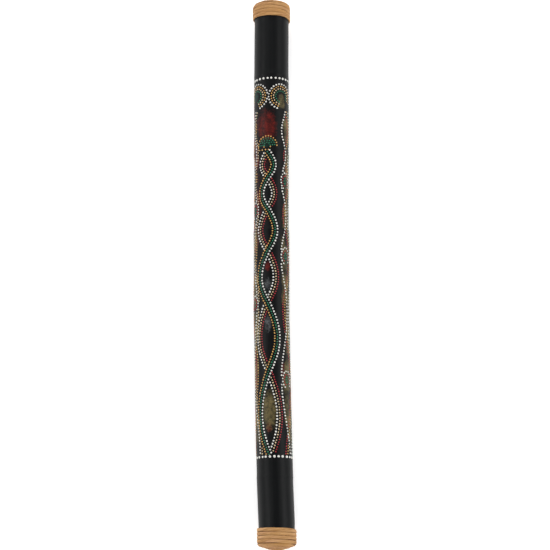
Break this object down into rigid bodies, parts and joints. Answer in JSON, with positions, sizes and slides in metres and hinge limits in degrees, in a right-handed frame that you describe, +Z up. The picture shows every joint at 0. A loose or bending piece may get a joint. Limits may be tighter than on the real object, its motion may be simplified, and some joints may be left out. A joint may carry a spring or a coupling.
{
  "type": "rainstick",
  "caption": "Closed bamboo rainstick, slightly bowed, painted black with rows of raised paint dots, with cord-wound domed ends, a spiral of pegs inside and loose pebbles that run end to end.",
  "frame": {"origin": "middle of the box that holds the stick, at the level of the surface it lies on", "axes": "+X along the stick towards the far end, +Z up from the surface, +Y to the side that the stick bows towards"},
  "size_m": [1.022, 0.0721, 0.0696],
  "materials": {
    "painted_bamboo": "satin black paint with raised paint dots",
    "cord": "matt tan plant fibre",
    "plug_wood": "bare turned wood",
    "button_wood": "pale bare wood",
    "peg_wood": "bare split bamboo",
    "stone": "matt rounded pebble"
  },
  "bodies": {
    "stick": {"bamboo_culm": "painted_bamboo", "near_plug": "plug_wood", "near_winding": "cord", "near_button": "button_wood", "far_plug": "plug_wood", "far_winding": "cord", "far_button": "button_wood", "pegs_1": "peg_wood", "pegs_2": "peg_wood", "pegs_3": "peg_wood", "pegs_4": "peg_wood", "pegs_5": "peg_wood", "pegs_6": "peg_wood", "pegs_7": "peg_wood"},
    "pebbles_floor": {"pebbles_floor": "stone"},
    "pebbles_heap": {"pebbles_heap": "stone"},
    "pebbles_left": {"pebbles_left": "stone"},
    "pebbles_right": {"pebbles_right": "stone"}
  },
  "joints": [
    {"name": "pebbles_floor_slide", "type": "slide", "parent": "stick", "child": "pebbles_floor", "axis": [1, 0, 0], "range_m": [0, 0.748]},
    {"name": "pebbles_heap_slide", "type": "slide", "parent": "stick", "child": "pebbles_heap", "axis": [1, 0, 0], "range_m": [0, 0.778]},
    {"name": "pebbles_left_slide", "type": "slide", "parent": "stick", "child": "pebbles_left", "axis": [1, 0, 0], "range_m": [0, 0.796]},
    {"name": "pebbles_right_slide", "type": "slide", "parent": "stick", "child": "pebbles_right", "axis": [1, 0, 0], "range_m": [0, 0.79]}
  ]
}
